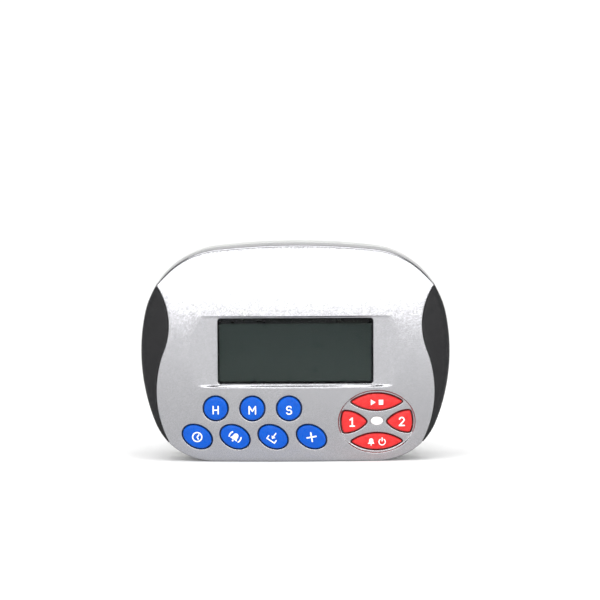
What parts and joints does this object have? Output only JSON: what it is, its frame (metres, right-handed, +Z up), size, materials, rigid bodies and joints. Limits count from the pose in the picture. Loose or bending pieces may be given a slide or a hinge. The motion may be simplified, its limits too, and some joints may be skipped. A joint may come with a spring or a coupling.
{
  "type": "lab timer",
  "caption": "Palm-sized bench timer with a display window, round, oval and lens-shaped keys, rubber side grips, a fold-out stand and a battery door.",
  "frame": {"origin": "centre of the base's flat footprint, on the surface that the timer stands on", "axes": "+X across the face to the right as read, +Y from the face to the back, +Z up"},
  "size_m": [0.102, 0.0241, 0.072],
  "materials": {
    "silver_paint": "satin metallic paint over moulded plastic",
    "grey_shell": "fine moulded texture, light grey",
    "grip_rubber": "soft-touch charcoal rubber, matte",
    "clear_window": "clear polished acrylic",
    "lcd_glass": "display glass under a polariser, dark grey-green",
    "lcd_film": "satin reflector film",
    "white_plastic": "natural moulded white",
    "zebra_rubber": "silicone with fine carbon layers",
    "board": "glass-epoxy laminate with green solder mask",
    "epoxy": "black potting epoxy",
    "tin": "tin-plated",
    "ceramic_tan": "ceramic chip bodies",
    "led_epoxy": "diffused lamp epoxy",
    "lamp_white": "translucent white, polished",
    "mat_rubber": "moulded silicone sheet",
    "blue_key": "glossy blue, rounded edges, white symbol",
    "red_key": "glossy red, rounded edges, white symbol",
    "cell_jacket": "printed sleeve over a steel can",
    "nickel": "nickel-plated spring steel",
    "brass": "thin brass disc with a ceramic face",
    "lead_red": "vinyl-insulated wire",
    "steel": "zinc-plated"
  },
  "bodies": {
    "case": {"front_cover": "silver_paint", "rear_cover": "grey_shell", "left_grip": "grip_rubber", "right_grip": "grip_rubber", "display_lens": "clear_window", "lcd_front_glass": "lcd_glass", "lcd_rear_glass": "lcd_glass", "lcd_reflector": "lcd_film", "lcd_holder": "white_plastic", "zebra_strip": "zebra_rubber", "main_board": "board", "controller_blob": "epoxy", "clock_crystal": "tin", "board_capacitors": "ceramic_tan", "alarm_led": "led_epoxy", "lamp_lens": "lamp_white", "keypad_mat": "mat_rubber", "battery_cell": "cell_jacket", "battery_spring": "nickel", "battery_contact": "nickel", "buzzer_disc": "brass", "buzzer_leads": "lead_red", "magnets": "nickel", "stand_pin": "steel", "case_screws": "steel", "board_screws": "steel"},
    "battery_door": {"battery_door": "grey_shell"},
    "stand": {"stand": "grey_shell"},
    "hour_key": {"hour_key": "blue_key"},
    "minute_key": {"minute_key": "blue_key"},
    "second_key": {"second_key": "blue_key"},
    "clock_key": {"clock_key": "blue_key"},
    "alarm_key": {"alarm_key": "blue_key"},
    "memory_key": {"memory_key": "blue_key"},
    "clear_key": {"clear_key": "blue_key"},
    "start_stop_key": {"start_stop_key": "red_key"},
    "timer_1_key": {"timer_1_key": "red_key"},
    "timer_2_key": {"timer_2_key": "red_key"},
    "alarm_switch_key": {"alarm_switch_key": "red_key"}
  },
  "joints": [
    {"name": "hour_press", "type": "slide", "parent": "case", "child": "hour_key", "axis": [0, 1, 0], "range_m": [0, 0.0008], "stiffness_N_per_m": 1500, "springref_m": -0.0004, "deforming": ["keypad_mat"]},
    {"name": "minute_press", "type": "slide", "parent": "case", "child": "minute_key", "axis": [0, 1, 0], "range_m": [0, 0.0008], "stiffness_N_per_m": 1500, "springref_m": -0.0004, "deforming": ["keypad_mat"]},
    {"name": "second_press", "type": "slide", "parent": "case", "child": "second_key", "axis": [0, 1, 0], "range_m": [0, 0.0008], "stiffness_N_per_m": 1500, "springref_m": -0.0004, "deforming": ["keypad_mat"]},
    {"name": "clock_press", "type": "slide", "parent": "case", "child": "clock_key", "axis": [0, 1, 0], "range_m": [0, 0.0008], "stiffness_N_per_m": 1500, "springref_m": -0.0004, "deforming": ["keypad_mat"]},
    {"name": "alarm_press", "type": "slide", "parent": "case", "child": "alarm_key", "axis": [0, 1, 0], "range_m": [0, 0.0008], "stiffness_N_per_m": 1500, "springref_m": -0.0004, "deforming": ["keypad_mat"]},
    {"name": "memory_press", "type": "slide", "parent": "case", "child": "memory_key", "axis": [0, 1, 0], "range_m": [0, 0.0008], "stiffness_N_per_m": 1500, "springref_m": -0.0004, "deforming": ["keypad_mat"]},
    {"name": "clear_press", "type": "slide", "parent": "case", "child": "clear_key", "axis": [0, 1, 0], "range_m": [0, 0.0008], "stiffness_N_per_m": 1500, "springref_m": -0.0004, "deforming": ["keypad_mat"]},
    {"name": "start_stop_press", "type": "slide", "parent": "case", "child": "start_stop_key", "axis": [0, 1, 0], "range_m": [0, 0.0008], "stiffness_N_per_m": 1500, "springref_m": -0.0004, "deforming": ["keypad_mat"]},
    {"name": "timer_1_press", "type": "slide", "parent": "case", "child": "timer_1_key", "axis": [0, 1, 0], "range_m": [0, 0.0008], "stiffness_N_per_m": 1500, "springref_m": -0.0004, "deforming": ["keypad_mat"]},
    {"name": "timer_2_press", "type": "slide", "parent": "case", "child": "timer_2_key", "axis": [0, 1, 0], "range_m": [0, 0.0008], "stiffness_N_per_m": 1500, "springref_m": -0.0004, "deforming": ["keypad_mat"]},
    {"name": "alarm_switch_press", "type": "slide", "parent": "case", "child": "alarm_switch_key", "axis": [0, 1, 0], "range_m": [0, 0.0008], "stiffness_N_per_m": 1500, "springref_m": -0.0004, "deforming": ["keypad_mat"]},
    {"name": "stand_hinge", "type": "hinge", "parent": "case", "child": "stand", "pos_m": [0, 0.0102, 0.056], "axis": [1, 0, 0], "range_deg": [0, 50]},
    {"name": "battery_door_hinge", "type": "hinge", "parent": "case", "child": "battery_door", "pos_m": [0, 0.0112, 0.0086], "axis": [-1, 0, 0], "range_deg": [0, 70]}
  ]
}
